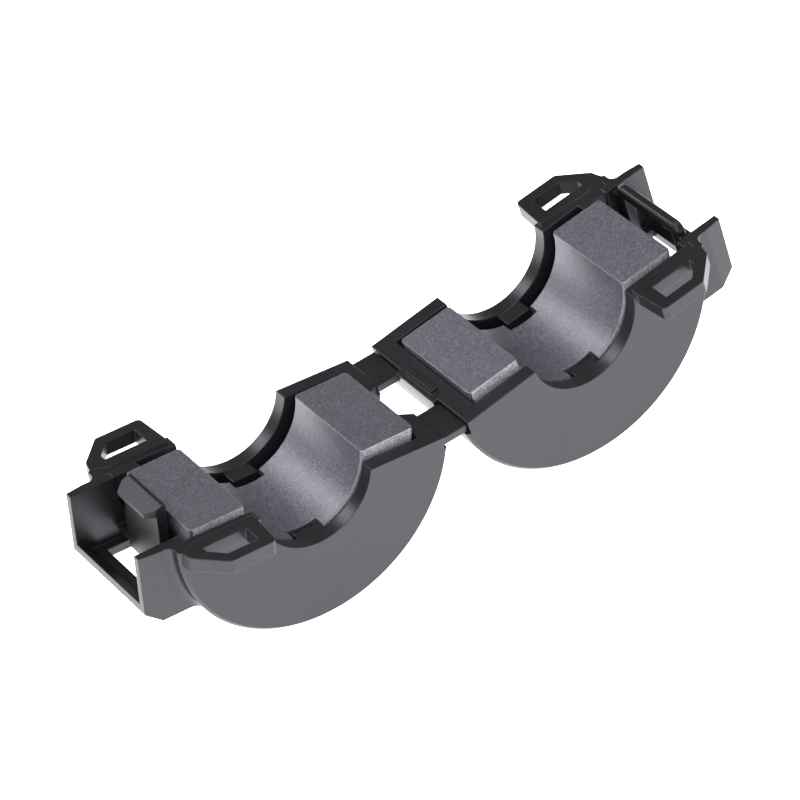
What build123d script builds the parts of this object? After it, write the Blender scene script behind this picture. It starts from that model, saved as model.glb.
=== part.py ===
from build123d import *
import math
import os

# Clip-on ferrite bead, lying open: two half-round cases, each holding half of a split ferrite
# core, joined by two hinge straps with a fold line at each end.  The left case carries a hook
# tongue and the right case carries a bail, each inside an open latch housing.
#
# Each case half is drawn in its own local frame: +u runs from the cable axis towards the hinge,
# v along the cable (the row's +Y) and w up from the plane where the two cores meet.
# Millimetres.  Row frame: origin on the surface it lies on, midway between the halves.

# ---- split ferrite core ------------------------------------------------------------------
core_od = 25.0
core_id = 13.0
core_len = 11.4
core_edge = 0.25            # broken edges of the sintered core
core_slide = -0.3           # the cores lie towards the front end walls
notch_w = 3.4               # notch in the bore's lip at each end, which a case tab holds
notch_deep = 1.35           # along the cable
notch_rise = 1.3            # into the core's wall

# ---- case shells -------------------------------------------------------------------------
core_room = 1.1             # core to the shell's inner face, where the cradle ribs stand
core_float = 0.9            # core's mean gap to each end wall
end_wall = 1.5
shell_wall = 1.5
rim_latch = 0.12            # rims below the cores' meeting plane at the latch edge
rim_hinge = 1.0             # and at the hinge: the rims slope evenly between the two
cutout_step = 0.3           # the cable cut-outs of the end walls stand proud of the core's bore
case_edge = 0.3
rib_w = 1.2                 # cradle ribs along the pocket
rib_angles = (25, 60, 120, 155)
core_clear = 0.08           # core to the ribs and tabs that hold it
seat_deep = 2.2             # ledge beside the core at the hinge, below the rim
tab_reach = 0.5             # end walls' tabs, into the core's notches
tab_side = 0.3              # tab to the notch's sides
corner_len = 2.9            # ledge in the pocket's rear latch corner, behind the core
corner_t = 0.8
corner_deep = 1.5

# ---- hinge -------------------------------------------------------------------------------
hinge_in = 0.6              # fold line inside the case's radius
strap_len = 2.9             # between the two fold lines
strap_t = 0.8
strap_gap = 0.06            # between a strap and the case at a fold line
strap_in = 3.2              # straps' inner edges from the middle
strap_inset = 0.4           # outer edges from the case's ends
hinge_relief = 0.95         # flats on the case, this far below the fold lines, clear the straps
notch_out = 0.45            # the hook half's hinge wall is open between the straps, from this far
                            # outside the core
notch_in_v = 2.2            # half width of that opening at its inner side
notch_out_v = 3.2           # and at the fold line
notch_floor = 4.0           # below the meeting plane
open_tilt = 6.8             # each half leans up from flat as the clip lies open
rib_u = 0.7                 # locating rib on the right case's rim by the window
rib_len = 4.4
rib_h = 0.45

# ---- cable-tie ears, measured inwards from the case's radius and out from the end wall -----
ear_t = 1.5
ear_root_in = 8.5           # bore side, at the end wall
ear_lean = 0.3              # the bore side leans outwards by this much
ear_out = 3.9               # reach beyond the end wall
ear_tip_in = 3.25           # where the outer corner's slope starts
ear_corner = 0.5            # rounded outer corners
ear_heel_in = 0.6           # where the slope ends
ear_heel_out = 1.2          # and how far out from the end wall that is
slot_in0 = 6.95
slot_in1 = 2.3
slot_gap = 0.5              # slot's near side from the end wall
slot_w = 2.2
slot_slope = 1.4            # the slot's outer corner is cut like the ear's

# ---- latch housings ----------------------------------------------------------------------
house_out = 3.3             # open end beyond the case's radius
house_half_w = 6.6
house_wall = 0.95
house_depth = 7.9           # below the rim
house_floor = 0.95
house_lip_rise = 1.35       # the floor's free end slopes up by this much
house_lip_len = 1.7
house_taper = 0.35          # the side walls' outer faces draw in near the free end
house_taper_len = 1.8
house_fillet = 0.75         # side walls to the shell
window_half_w = 4.7         # core-out in the housing floor, from the shell outwards
hook_window_out = 0.7       # its outer edge beyond the case's radius, on the hook half
bail_window_out = 1.7       # and on the bail half
gate_depth = 5.5            # the shell is cut away this deep between core and latch
gate_in = 2.1               # from this far inside the case's radius

# ---- hook tongue and bail ----------------------------------------------------------------
tongue_in = 1.95            # inner face, inside the case's radius
tongue_t = 1.05
tongue_top = 1.75           # above the meeting plane
tongue_crown = 0.35         # flat on top, before the lug's slope
lug_out = 0.95
lug_under = 0.55            # lug's lower edge above the meeting plane
lug_lip = 0.45              # height of the lug's straight lower edge
lug_chamfer = 0.7
bail_gap = 0.12             # tongue's outer face to the bail, closed
bail_t = 1.0
bail_bar = 1.25             # height of the bail's top bar
bail_leg = 1.2
bail_corner = 1.1
bail_round = 0.3            # rounded edges of the top bar
bail_side = 0.6             # the loop narrows by this much a side above the housing
latch_play = 0.15           # lug to bar, closed
side_play = 0.85            # hook to the bail's legs

# ---- derived places ----------------------------------------------------------------------
core_r, bore_r = core_od / 2, core_id / 2
core_front, core_rear = core_slide - core_len / 2, core_slide + core_len / 2
wall_in = core_len / 2 + core_float
half_len = wall_in + end_wall
pocket_r = core_r + core_room
case_r = pocket_r + shell_wall
cutout_r = bore_r - cutout_step
hinge_u = case_r - hinge_in
hinge_drop = strap_len / 2              # fold lines below the meeting plane: cores meet closed
house_u = case_r + house_out
house_in_v = house_half_w - house_wall
house_bottom = -rim_latch - house_depth
gate_u = case_r - gate_in
gate_floor = -rim_latch - gate_depth
tongue_u = case_r - tongue_in
bail_u = tongue_u + tongue_t + bail_gap
bail_low = -(lug_under - latch_play)    # bar's lower edge, in its own half's frame
bail_top = bail_low + bail_bar
bail_half_w = house_in_v - bail_side
bail_in_v = bail_half_w - bail_leg
tongue_half_w = bail_in_v - side_play
tilt = math.radians(open_tilt)
fold_z = case_r - hinge_u * math.sin(tilt) - hinge_drop * math.cos(tilt)
centre_x = strap_len / 2 + hinge_u * math.cos(tilt) - hinge_drop * math.sin(tilt)
far = 4 * case_r


def block(u0, u1, v0, v1, w0, w1):
    return Pos((u0 + u1) / 2, (v0 + v1) / 2, (w0 + w1) / 2) * Box(u1 - u0, v1 - v0, w1 - w0)


def drum(radius, v0, v1):
    return Pos(0, (v0 + v1) / 2, 0) * Rot(90, 0, 0) * Cylinder(radius, v1 - v0)


def side_prism(points, v0, v1):
    """A (u, w) outline, drawn out along the cable from v0 to v1."""
    outline = Plane((0, v1, 0), x_dir=(1, 0, 0), z_dir=(0, -1, 0))
    return extrude(outline * make_face(Polyline(*points, close=True)), v1 - v0)


def top_prism(points, w0, w1):
    """A (u, v) outline, drawn up from w0 to w1."""
    return Pos(0, 0, w0) * extrude(make_face(Polyline(*points, close=True)), w1 - w0)


def both_ends(solid):
    return solid + mirror(solid, Plane.XZ)


def core_half():
    body = drum(core_r, core_front, core_rear) - drum(bore_r, -far, far)
    body -= block(-far, far, -far, far, 0, far)
    body = chamfer(body.edges().filter_by(Axis.Y, reverse=True).filter_by(GeomType.CIRCLE), core_edge)
    for end, into in ((core_front, 1), (core_rear, -1)):
        v0, v1 = sorted((end - into, end + into * notch_deep))
        body -= block(-notch_w / 2, notch_w / 2, v0, v1, -bore_r - notch_rise, 0)
    return body


def ear():
    """Cable-tie ear on the +v end wall at the latch side."""
    v, top = half_len, -rim_latch
    root, tip, heel = (case_r - inward for inward in (ear_root_in, ear_tip_in, ear_heel_in))
    outline = [(-root, v - end_wall / 2), (-root, v), (-root - ear_lean, v + ear_out), (-tip, v + ear_out),
               (-heel, v + ear_heel_out), (-case_r + case_edge, v), (-heel + end_wall, v - end_wall / 2)]
    u0, u1 = case_r - slot_in0, case_r - slot_in1
    v0, v1 = v + slot_gap, v + slot_gap + slot_w
    slot = [(-u0, v0), (-u0, v1), (-u1 + slot_slope, v1), (-u1, v0 + slot_w / 3), (-u1, v0)]
    plate = top_prism(outline, top - ear_t, top)
    plate = fillet(plate.edges().filter_by(Axis.Z).sort_by(Axis.Y)[-2:], ear_corner)
    return plate - top_prism(slot, top - ear_t - 1, top + 1)


def shell():
    """One case shell without its latch parts: end walls, pocket, cradle ribs, ledge, tabs, hinge flats."""
    body = drum(case_r, -half_len, half_len)
    outer = body.edges().filter_by(GeomType.CIRCLE)
    body = chamfer(outer, case_edge)
    body -= drum(pocket_r, -wall_in, wall_in)
    seat_r = core_r + core_clear
    for angle in rib_angles:
        rib = block(seat_r, pocket_r + 0.2, -wall_in, wall_in, -rib_w / 2, rib_w / 2)
        body += Rot(0, angle, 0) * rib
    body += block(core_r - 1, pocket_r + 0.2, -wall_in, wall_in, -rim_hinge - seat_deep, 0)
    body -= drum(seat_r, -wall_in, wall_in)
    body += block(-pocket_r, corner_len - pocket_r, wall_in - corner_t, wall_in + 0.1, -corner_deep, 0)
    for side in (-1, 1):
        end = core_rear if side > 0 else core_front
        v0, v1 = sorted((end - side * tab_reach, side * (wall_in + end_wall / 2)))
        half = notch_w / 2 - tab_side
        body += block(-half, half, v0, v1, -bore_r - notch_rise + core_clear, -cutout_r - 0.05)
    for v0, v1 in ((-far, -wall_in), (wall_in, far)):
        body -= drum(cutout_r, v0, v1)
    slope = (rim_latch - rim_hinge) / (hinge_u + case_r)
    rim = [(u, slope * (u - hinge_u) - rim_hinge) for u in (-far, far)]
    body -= side_prism(rim + [(far, far), (-far, far)], -far, far)
    clear = block(hinge_u - strap_gap / 2, far, strap_in - strap_gap, far, -hinge_drop - hinge_relief, far)
    return body - both_ends(clear)


def housing(window_out):
    """Open latch housing: two side walls and a floor whose free end slopes up."""
    top, low = -rim_latch, house_bottom
    inner = low + house_floor
    root = case_r - 2 * shell_wall
    profile = [(-root, top), (-house_u, top), (-house_u, low + house_lip_rise),
               (-house_u + house_lip_len, low), (-root, low)]
    body = side_prism(profile, -house_half_w, house_half_w)
    hollow = [(-root + 1, top + 1), (-house_u - 1, top + 1), (-house_u - 1, inner + house_lip_rise + 1),
              (-house_u, inner + house_lip_rise), (-house_u + house_lip_len, inner), (-root + 1, inner)]
    body -= side_prism(hollow, -house_in_v, house_in_v)
    body -= block(-case_r - window_out, 0, -window_half_w, window_half_w, low - 1, inner + 1)
    start = -house_u + house_taper_len
    taper = [(start, house_half_w), (-house_u - 1, house_half_w - house_taper),
             (-house_u - 1, house_half_w + 1), (start, house_half_w + 1)]
    body -= both_ends(top_prism(taper, low - 1, top + 1))
    return body + both_ends(housing_fillet())


def housing_fillet():
    """Hollow fillet round the shell, from the housing's side wall to the case's edge."""
    r, v = house_fillet, house_half_w
    ring = drum(case_r + r, v - house_wall / 2, v + r) - drum(pocket_r + shell_wall / 2, -far, far)
    ring -= Pos(0, v + r, 0) * Rot(90, 0, 0) * Torus(case_r + r, r)
    return ring & block(-far, -gate_u + 2, 0, far, house_bottom, -rim_latch)


def case_half(latch, window_out):
    body = shell()
    body -= block(-far, -gate_u, -house_in_v, house_in_v, gate_floor, 0)
    body += housing(window_out) - drum(pocket_r, -wall_in, wall_in)
    body += both_ends(ear())
    return body + latch


def hook():
    u0, u1 = tongue_u, tongue_u + tongue_t
    low = gate_floor - shell_wall / 2
    profile = [(-u0, low), (-u0, tongue_top), (-u0 - tongue_crown, tongue_top),
               (-u1 - lug_out, lug_under + lug_lip), (-u1 - lug_out, lug_under), (-u1, lug_under), (-u1, low)]
    body = side_prism(profile, -tongue_half_w, tongue_half_w)
    v, cut = tongue_half_w, lug_chamfer
    tip = u1 + lug_out + 0.01
    corner = [(-tip, v - cut), (-tip, v + 1), (-u1 + 0.01, v + 1), (-u1 + 0.01, v)]
    return body - both_ends(top_prism(corner, lug_under - 0.01, tongue_top + 1))


def bail():
    """Upright loop across the housing: legs run down its side walls, bar on top."""
    u0, u1 = bail_u, bail_u + bail_t
    foot = -rim_latch - 0.4
    loop = block(-u1, -u0, -bail_half_w, bail_half_w, foot - 1, bail_top)
    loop = fillet(loop.edges().filter_by(Axis.X).group_by(Axis.Z)[-1], bail_corner)
    loop = fillet(loop.faces().sort_by(Axis.Z)[-1].edges().filter_by(Axis.Y), bail_round)
    loop += block(-u1, -u0, -house_in_v - 0.2, house_in_v + 0.2, house_bottom + house_floor / 2, foot)
    return loop - block(-u1 - 1, -u0 + 1, -bail_in_v, bail_in_v, house_bottom - 1, bail_low)


def hinge_notch():
    """Opening in the hook half's hinge wall, between the straps."""
    start, end = core_r + notch_out, case_r + 1
    outline = [(start, -notch_in_v), (start, notch_in_v), (hinge_u, notch_out_v), (end, notch_out_v),
               (end, -notch_out_v), (hinge_u, -notch_out_v)]
    return top_prism(outline, -notch_floor, 1)


def nub():
    """Locating rib on the rim beside the hinge window."""
    u1 = hinge_u - strap_gap / 2
    return block(u1 - rib_u, u1, -rib_len / 2, rib_len / 2, -rim_hinge - 0.5, -rim_hinge + rib_h)


def left_place(solid):
    return Pos(-centre_x, 0, case_r) * Rot(0, open_tilt, 0) * solid


def right_place(solid):
    return Pos(centre_x, 0, case_r) * Rot(0, -open_tilt, 0) * mirror(solid, Plane.YZ)


def strap(v0, v1):
    """Its top face lies in the plane of the two fold lines, so that it closes outside the case."""
    half = strap_len / 2 - strap_gap / 2
    return block(-half, half, v0, v1, fold_z - strap_t, fold_z)


nodes = {
    "hook_case_half": left_place(case_half(hook(), hook_window_out) - hinge_notch()),
    "bail_case_half": right_place(case_half(bail() + nub(), bail_window_out)),
    "hook_side_core": left_place(core_half()),
    "bail_side_core": right_place(core_half()),
    "front_hinge_strap": strap(strap_inset - half_len, -strap_in),
    "rear_hinge_strap": strap(strap_in, half_len - strap_inset),
}

os.makedirs("parts", exist_ok=True)
for name, solid in nodes.items():
    export_step(solid, f"parts/{name}.step")
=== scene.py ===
import math

import bpy
from mathutils import Matrix, Vector


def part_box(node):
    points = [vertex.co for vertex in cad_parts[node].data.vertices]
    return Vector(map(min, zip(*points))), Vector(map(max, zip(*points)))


# The looks of an open clip-on ferrite bead: satin black moulded case halves and straps, and two
# sintered ferrite core halves.  Small lengths are written in mm and turned to metres with MM.

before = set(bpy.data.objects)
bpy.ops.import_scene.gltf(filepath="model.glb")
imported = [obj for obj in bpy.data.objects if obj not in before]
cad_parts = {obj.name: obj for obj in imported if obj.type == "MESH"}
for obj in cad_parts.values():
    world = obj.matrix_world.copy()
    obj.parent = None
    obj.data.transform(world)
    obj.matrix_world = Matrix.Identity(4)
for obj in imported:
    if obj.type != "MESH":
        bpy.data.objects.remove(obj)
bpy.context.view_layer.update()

MM = 0.001
CASE_NODES = ("hook_case_half", "bail_case_half", "front_hinge_strap", "rear_hinge_strap")
CORE_NODES = ("hook_side_core", "bail_side_core")

# ---- surfaces ----------------------------------------------------------------------------
CASE_EDGE = 0.18 * MM               # radius that the case's edges are rounded to in shading
CORE_EDGE = 0.17 * MM
END_DEPTH = 0.5 * MM                # only the cores' end faces get the painted light, not their notches' walls
NYLON_DARK, NYLON_LIGHT = (0.0075, 0.0075, 0.0085), (0.0125, 0.0125, 0.014)
FLOW_MARK = (0.030, 0.030, 0.033)
# lighter case edges: rubbing wear and partly painted edge highlight
RUBBED_AND_HIGHLIT = (0.075, 0.075, 0.078)
DUST = (0.12, 0.118, 0.115)
FERRITE_DARK, FERRITE_MID, FERRITE_LIGHT = (0.010, 0.010, 0.014), (0.067, 0.067, 0.085), (0.190, 0.190, 0.225)
BLOTCH_DARK, BLOTCH_LIGHT = (0.38, 0.38, 0.42), (0.62, 0.62, 0.65)
MOTTLE = (0.026, 0.026, 0.033)
PORE = (0.008, 0.008, 0.010)
# end faces painted paler: painted light standing in for the light they catch from the front
PAINTED_LIGHT_END_DARK, PAINTED_LIGHT_END_LIGHT = (0.20, 0.20, 0.23), (0.78, 0.78, 0.86)
# lighter ferrite edges: real chipping and partly painted edge highlight
CHIP_AND_EDGE_HIGHLIGHT = (0.20, 0.20, 0.22)
GLINT = (0.40, 0.40, 0.42)

# ---- stage -------------------------------------------------------------------------------
FLOOR_HALF = 3.0                    # metres
FLOOR_GLOW = 1.95                   # what the floor emits, on top of the light that it reflects
SWEEP_GLOW = 1.0                    # radiance of the sweep at the horizon
ROOM_GLOW = 0.20                    # radiance of the room above the sweep
SWEEP_TOP = 0.12                    # sines of the angles above the horizon where the sweep starts
ROOM_START = 2.2 * SWEEP_TOP        # to fade fast, and where only the room is left
LIGHT_TARGET = (0, 0, 0.01)
SENSOR_MM, LENS_MM = 36, 184.75
CAMERA_PLACE = (-0.139994, -0.268855, 0.263078)
CAMERA_AZIMUTH, CAMERA_ELEVATION, CAMERA_ROLL = -27.35, 39.69, -12.14


# ---- node helpers ------------------------------------------------------------------------
class Shader:
    """A material with short calls for adding and joining nodes."""

    def __init__(self, name):
        self.material = bpy.data.materials.new(name)
        self.material.use_nodes = True
        self.tree = self.material.node_tree
        self.tree.nodes.clear()
        output = self.tree.nodes.new("ShaderNodeOutputMaterial")
        self.surface = self.tree.nodes.new("ShaderNodeBsdfPrincipled")
        self.join(self.surface.outputs["BSDF"], output.inputs["Surface"])
        self.place = self.tree.nodes.new("ShaderNodeTexCoord").outputs["Object"]

    def join(self, source, target):
        self.tree.links.new(source, target)

    def feed(self, socket, value):
        """Joins value to socket if it is a node's output, and else sets it."""
        if isinstance(value, bpy.types.NodeSocket):
            self.join(value, socket)
        else:
            socket.default_value = value

    def part_of(self, vector, axis):
        node = self.tree.nodes.new("ShaderNodeSeparateXYZ")
        self.join(vector, node.inputs["Vector"])
        return node.outputs[axis]

    def stretched(self, x, y, z):
        node = self.tree.nodes.new("ShaderNodeMapping")
        node.inputs["Scale"].default_value = (x, y, z)
        self.join(self.place, node.inputs["Vector"])
        return node.outputs["Vector"]

    def noise(self, scale, detail, rough, place=None):
        node = self.tree.nodes.new("ShaderNodeTexNoise")
        self.join(place or self.place, node.inputs["Vector"])
        node.inputs["Scale"].default_value = scale
        node.inputs["Detail"].default_value = detail
        node.inputs["Roughness"].default_value = rough
        return node.outputs["Fac"]

    def specks(self, scale, solid, gone):
        """Scattered round specks: 1 out to the distance solid from their middles, 0 from gone on."""
        node = self.tree.nodes.new("ShaderNodeTexVoronoi")
        self.join(self.place, node.inputs["Vector"])
        node.inputs["Scale"].default_value = scale
        return self.ramp(node.outputs["Distance"], ((solid, 1.0), (gone, 0.0)))

    def ramp(self, value, stops):
        """stops: (position, grey or colour) pairs."""
        node = self.tree.nodes.new("ShaderNodeValToRGB")
        self.join(value, node.inputs["Fac"])
        ramp = node.color_ramp
        while len(ramp.elements) < len(stops):
            ramp.elements.new(1.0)
        for element, (position, colour) in zip(ramp.elements, stops):
            element.position = position
            element.color = (*colour, 1) if isinstance(colour, tuple) else (colour, colour, colour, 1)
        return node.outputs["Color"]

    def math(self, operation, *values):
        node = self.tree.nodes.new("ShaderNodeMath")
        node.operation = operation
        for socket, value in zip(node.inputs, values):
            self.feed(socket, value)
        return node.outputs["Value"]

    def times(self, a, b):
        return self.math("MULTIPLY", a, b)

    def scaled(self, value, factor, offset):
        """value * factor + offset."""
        return self.math("MULTIPLY_ADD", value, factor, offset)

    def mix(self, factor, a, b, blend="MIX"):
        node = self.tree.nodes.new("ShaderNodeMix")
        node.data_type = "RGBA"
        node.blend_type = blend
        self.feed(node.inputs["Factor"], factor)
        colour_a, colour_b = node.inputs[6], node.inputs[7]
        for socket, value in ((colour_a, a), (colour_b, b)):
            self.feed(socket, (*value, 1) if isinstance(value, tuple) else value)
        return node.outputs[2]

    def edges(self, radius, low, high):
        """1 along sharp edges and 0 elsewhere, and the normal rounded over that radius."""
        bevel = self.tree.nodes.new("ShaderNodeBevel")
        bevel.samples = 8
        bevel.inputs["Radius"].default_value = radius
        dot = self.tree.nodes.new("ShaderNodeVectorMath")
        dot.operation = "DOT_PRODUCT"
        self.join(bevel.outputs["Normal"], dot.inputs[0])
        self.join(self.tree.nodes.new("ShaderNodeNewGeometry").outputs["Normal"], dot.inputs[1])
        turn = self.math("SUBTRACT", 1.0, dot.outputs["Value"])
        return self.ramp(turn, ((low, 0.0), (high, 1.0))), bevel.outputs["Normal"]

    def facing_ends(self):
        """1 where the surface faces along the cable, either way."""
        normal = self.tree.nodes.new("ShaderNodeNewGeometry").outputs["True Normal"]
        return self.ramp(self.math("ABSOLUTE", self.part_of(normal, "Y")), ((0.85, 0.0), (0.95, 1.0)))

    def bump(self, height, strength, distance, normal=None):
        node = self.tree.nodes.new("ShaderNodeBump")
        node.inputs["Strength"].default_value = strength
        node.inputs["Distance"].default_value = distance
        self.join(height, node.inputs["Height"])
        if normal is not None:
            self.join(normal, node.inputs["Normal"])
        return node.outputs["Normal"]

    def finish(self, colour, roughness, normal, **plain):
        self.feed(self.surface.inputs["Base Color"], colour)
        self.feed(self.surface.inputs["Roughness"], roughness)
        self.feed(self.surface.inputs["Normal"], normal)
        for name, value in plain.items():
            self.surface.inputs[name.replace("_", " ")].default_value = value
        return self.material


# ---- materials ---------------------------------------------------------------------------
def moulded_black():
    """Satin black nylon: spark-eroded grain, faint flow marks, a little dust, edges lighter from rubbing and
    partly painted edge highlight.
    """
    s = Shader("moulded_black")
    cloud = s.noise(180, 3, 0.55)
    grain = s.noise(5200, 3, 0.6)
    smudge = s.noise(700, 4, 0.65)
    patches = s.noise(1400, 3, 0.6)
    flow = s.noise(1.0, 3, 0.6, place=s.stretched(260, 1500, 700))
    dust = s.specks(900, 0.0, 0.035)
    rubbed_and_highlit, rounded = s.edges(CASE_EDGE, 0.02, 0.40)

    body = s.ramp(cloud, ((0.3, NYLON_DARK), (0.75, NYLON_LIGHT)))
    body = s.mix(s.times(s.math("SUBTRACT", flow, 0.45), 0.25), body, FLOW_MARK)
    # edges mixed lighter: rubbing wear and painted edge highlight
    body = s.mix(s.times(rubbed_and_highlit, s.times(patches, 0.7)), body, RUBBED_AND_HIGHLIT)
    body = s.mix(s.times(dust, 0.12), body, DUST)

    rough = s.scaled(cloud, 0.10, s.scaled(grain, 0.10, 0.22))
    rough = s.scaled(smudge, 0.06, rough)
    normal = s.bump(grain, 0.30, 0.010 * MM, rounded)
    normal = s.bump(cloud, 0.25, 0.08 * MM, normal)
    normal = s.bump(flow, 0.15, 0.02 * MM, normal)
    return s.finish(body, rough, normal, IOR=1.52, Specular_Tint=(0.95, 0.88, 1.0, 1))


def near_core_ends(s):
    """1 at the cores' two ends and 0 further in than END_DEPTH."""
    (_, front, _), (_, rear, _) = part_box(CORE_NODES[0])
    off_middle = s.math("SUBTRACT", s.part_of(s.place, "Y"), (front + rear) / 2)
    return s.math("GREATER_THAN", s.math("ABSOLUTE", off_middle), (rear - front) / 2 - END_DEPTH)


def sintered_ferrite():
    """Dark grey ferrite: speckle, pores, glints, edges lighter from chipping and painted edge highlight, and
    end faces painted paler as painted light from the front.
    """
    s = Shader("sintered_ferrite")
    grains = s.noise(5600, 3, 0.8)
    blotch = s.noise(1500, 3, 0.6)
    mottle = s.noise(420, 4, 0.6)
    pores = s.specks(1500, 0.06, 0.15)
    glints = s.specks(700, 0.0, 0.045)
    chipped_and_highlit, rounded = s.edges(CORE_EDGE, 0.01, 0.16)
    painted_light_ends = s.times(s.facing_ends(), near_core_ends(s))
    chips_and_highlight = s.times(chipped_and_highlit, s.scaled(s.noise(1800, 4, 0.7), 1.3, -0.15))

    body = s.ramp(grains, ((0.36, FERRITE_DARK), (0.50, FERRITE_MID), (0.64, FERRITE_LIGHT)))
    body = s.mix(0.6, body, s.ramp(blotch, ((0.35, BLOTCH_DARK), (0.65, BLOTCH_LIGHT))), "OVERLAY")
    body = s.mix(s.times(mottle, 0.3), body, MOTTLE)
    body = s.mix(s.times(pores, 0.6), body, PORE)
    # end faces mixed towards the paler colour: painted light
    body = s.mix(s.times(painted_light_ends, 0.9), body, s.ramp(grains, ((0.36, PAINTED_LIGHT_END_DARK), (0.64, PAINTED_LIGHT_END_LIGHT))))
    # edges mixed lighter: chipping and painted edge highlight
    body = s.mix(chips_and_highlight, body, CHIP_AND_EDGE_HIGHLIGHT)
    body = s.mix(s.times(glints, 0.35), body, GLINT)

    rough = s.scaled(grains, 0.36, 0.22)
    normal = s.bump(grains, 0.85, 0.04 * MM, rounded)
    normal = s.bump(pores, 0.35, 0.02 * MM, normal)
    return s.finish(body, rough, normal, IOR=2.3, Specular_Tint=(0.91, 0.91, 1.0, 1))


def pale_floor():
    """White studio floor that glows as a light table does, so that shadows hardly show on it."""
    s = Shader("pale_floor")
    paper = s.noise(900, 4, 0.6)
    body = s.ramp(paper, ((0.3, 0.90), (0.7, 0.93)))
    return s.finish(body, 0.6, s.bump(paper, 0.05, 0.02 * MM), Specular_IOR_Level=0.2,
                    Emission_Color=(1, 1, 1, 1), Emission_Strength=FLOOR_GLOW)


# ---- building ----------------------------------------------------------------------------
def build_finishes():
    black, ferrite = moulded_black(), sintered_ferrite()
    for names, material in ((CASE_NODES, black), (CORE_NODES, ferrite)):
        for name in names:
            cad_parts[name].data.materials[0] = material


def build_floor():
    half = FLOOR_HALF
    corners = [(-half, -half, 0), (half, -half, 0), (half, half, 0), (-half, half, 0)]
    mesh = bpy.data.meshes.new("floor")
    mesh.from_pydata(corners, [], [(0, 1, 2, 3)])
    mesh.materials.append(pale_floor())
    floor = bpy.data.objects.new("floor", mesh)
    bpy.context.scene.collection.objects.link(floor)


def build_world():
    """The white sweep shows all round near the horizon, and the room above it is dimmer."""
    world = bpy.data.worlds.new("studio")
    world.use_nodes = True
    tree = world.node_tree
    direction = tree.nodes.new("ShaderNodeTexCoord").outputs["Generated"]
    parts = tree.nodes.new("ShaderNodeSeparateXYZ")
    ramp = tree.nodes.new("ShaderNodeValToRGB")
    background = tree.nodes["Background"]
    tree.links.new(direction, parts.inputs["Vector"])
    tree.links.new(parts.outputs["Z"], ramp.inputs["Fac"])
    tree.links.new(ramp.outputs["Color"], background.inputs["Color"])
    background.inputs["Strength"].default_value = SWEEP_GLOW
    stops = ((0.0, 1.0), (SWEEP_TOP, 0.75), (ROOM_START, ROOM_GLOW / SWEEP_GLOW))
    ramp.color_ramp.elements.new(0.5)
    for element, (position, grey) in zip(ramp.color_ramp.elements, stops):
        element.position = position
        element.color = (grey, grey, grey, 1)
    bpy.context.scene.world = world


def softbox(name, place, size, power):
    light = bpy.data.lights.new(name, "AREA")
    light.shape = "RECTANGLE"
    light.size, light.size_y = size
    light.energy = power
    lamp = bpy.data.objects.new(name, light)
    lamp.location = place
    lamp.rotation_mode = "QUATERNION"
    lamp.rotation_quaternion = (Vector(LIGHT_TARGET) - Vector(place)).to_track_quat("-Z", "Y")
    bpy.context.scene.collection.objects.link(lamp)


def build_lights():
    softbox("key", (-0.30, -0.55, 0.42), (0.5, 0.4), 2.5)
    softbox("overhead", (-0.10, -0.05, 0.75), (0.7, 0.7), 3.2)
    softbox("back_left", (-0.27, 0.44, 0.49), (0.30, 0.24), 1.6)


def build_camera():
    """The photograph's angle: from the front left and about 40 degrees up, rolled by 12."""
    camera = bpy.data.objects.new("camera", bpy.data.cameras.new("camera"))
    camera.data.sensor_width, camera.data.lens = SENSOR_MM, LENS_MM
    camera.data.clip_start, camera.data.clip_end = 0.05, 20
    azimuth, elevation, roll = (math.radians(a) for a in (CAMERA_AZIMUTH, CAMERA_ELEVATION, CAMERA_ROLL))
    back = Vector((math.sin(azimuth) * math.cos(elevation), -math.cos(azimuth) * math.cos(elevation),
                   math.sin(elevation)))
    level = (-back).to_track_quat("-Z", "Y").to_matrix()
    turn = Matrix.Rotation(roll, 3, back)
    camera.matrix_world = Matrix.Translation(CAMERA_PLACE) @ (turn @ level).to_4x4()
    bpy.context.scene.collection.objects.link(camera)
    bpy.context.scene.camera = camera


build_finishes()
build_floor()
build_world()
build_lights()
build_camera()
bpy.context.scene.view_settings.view_transform = "Standard"
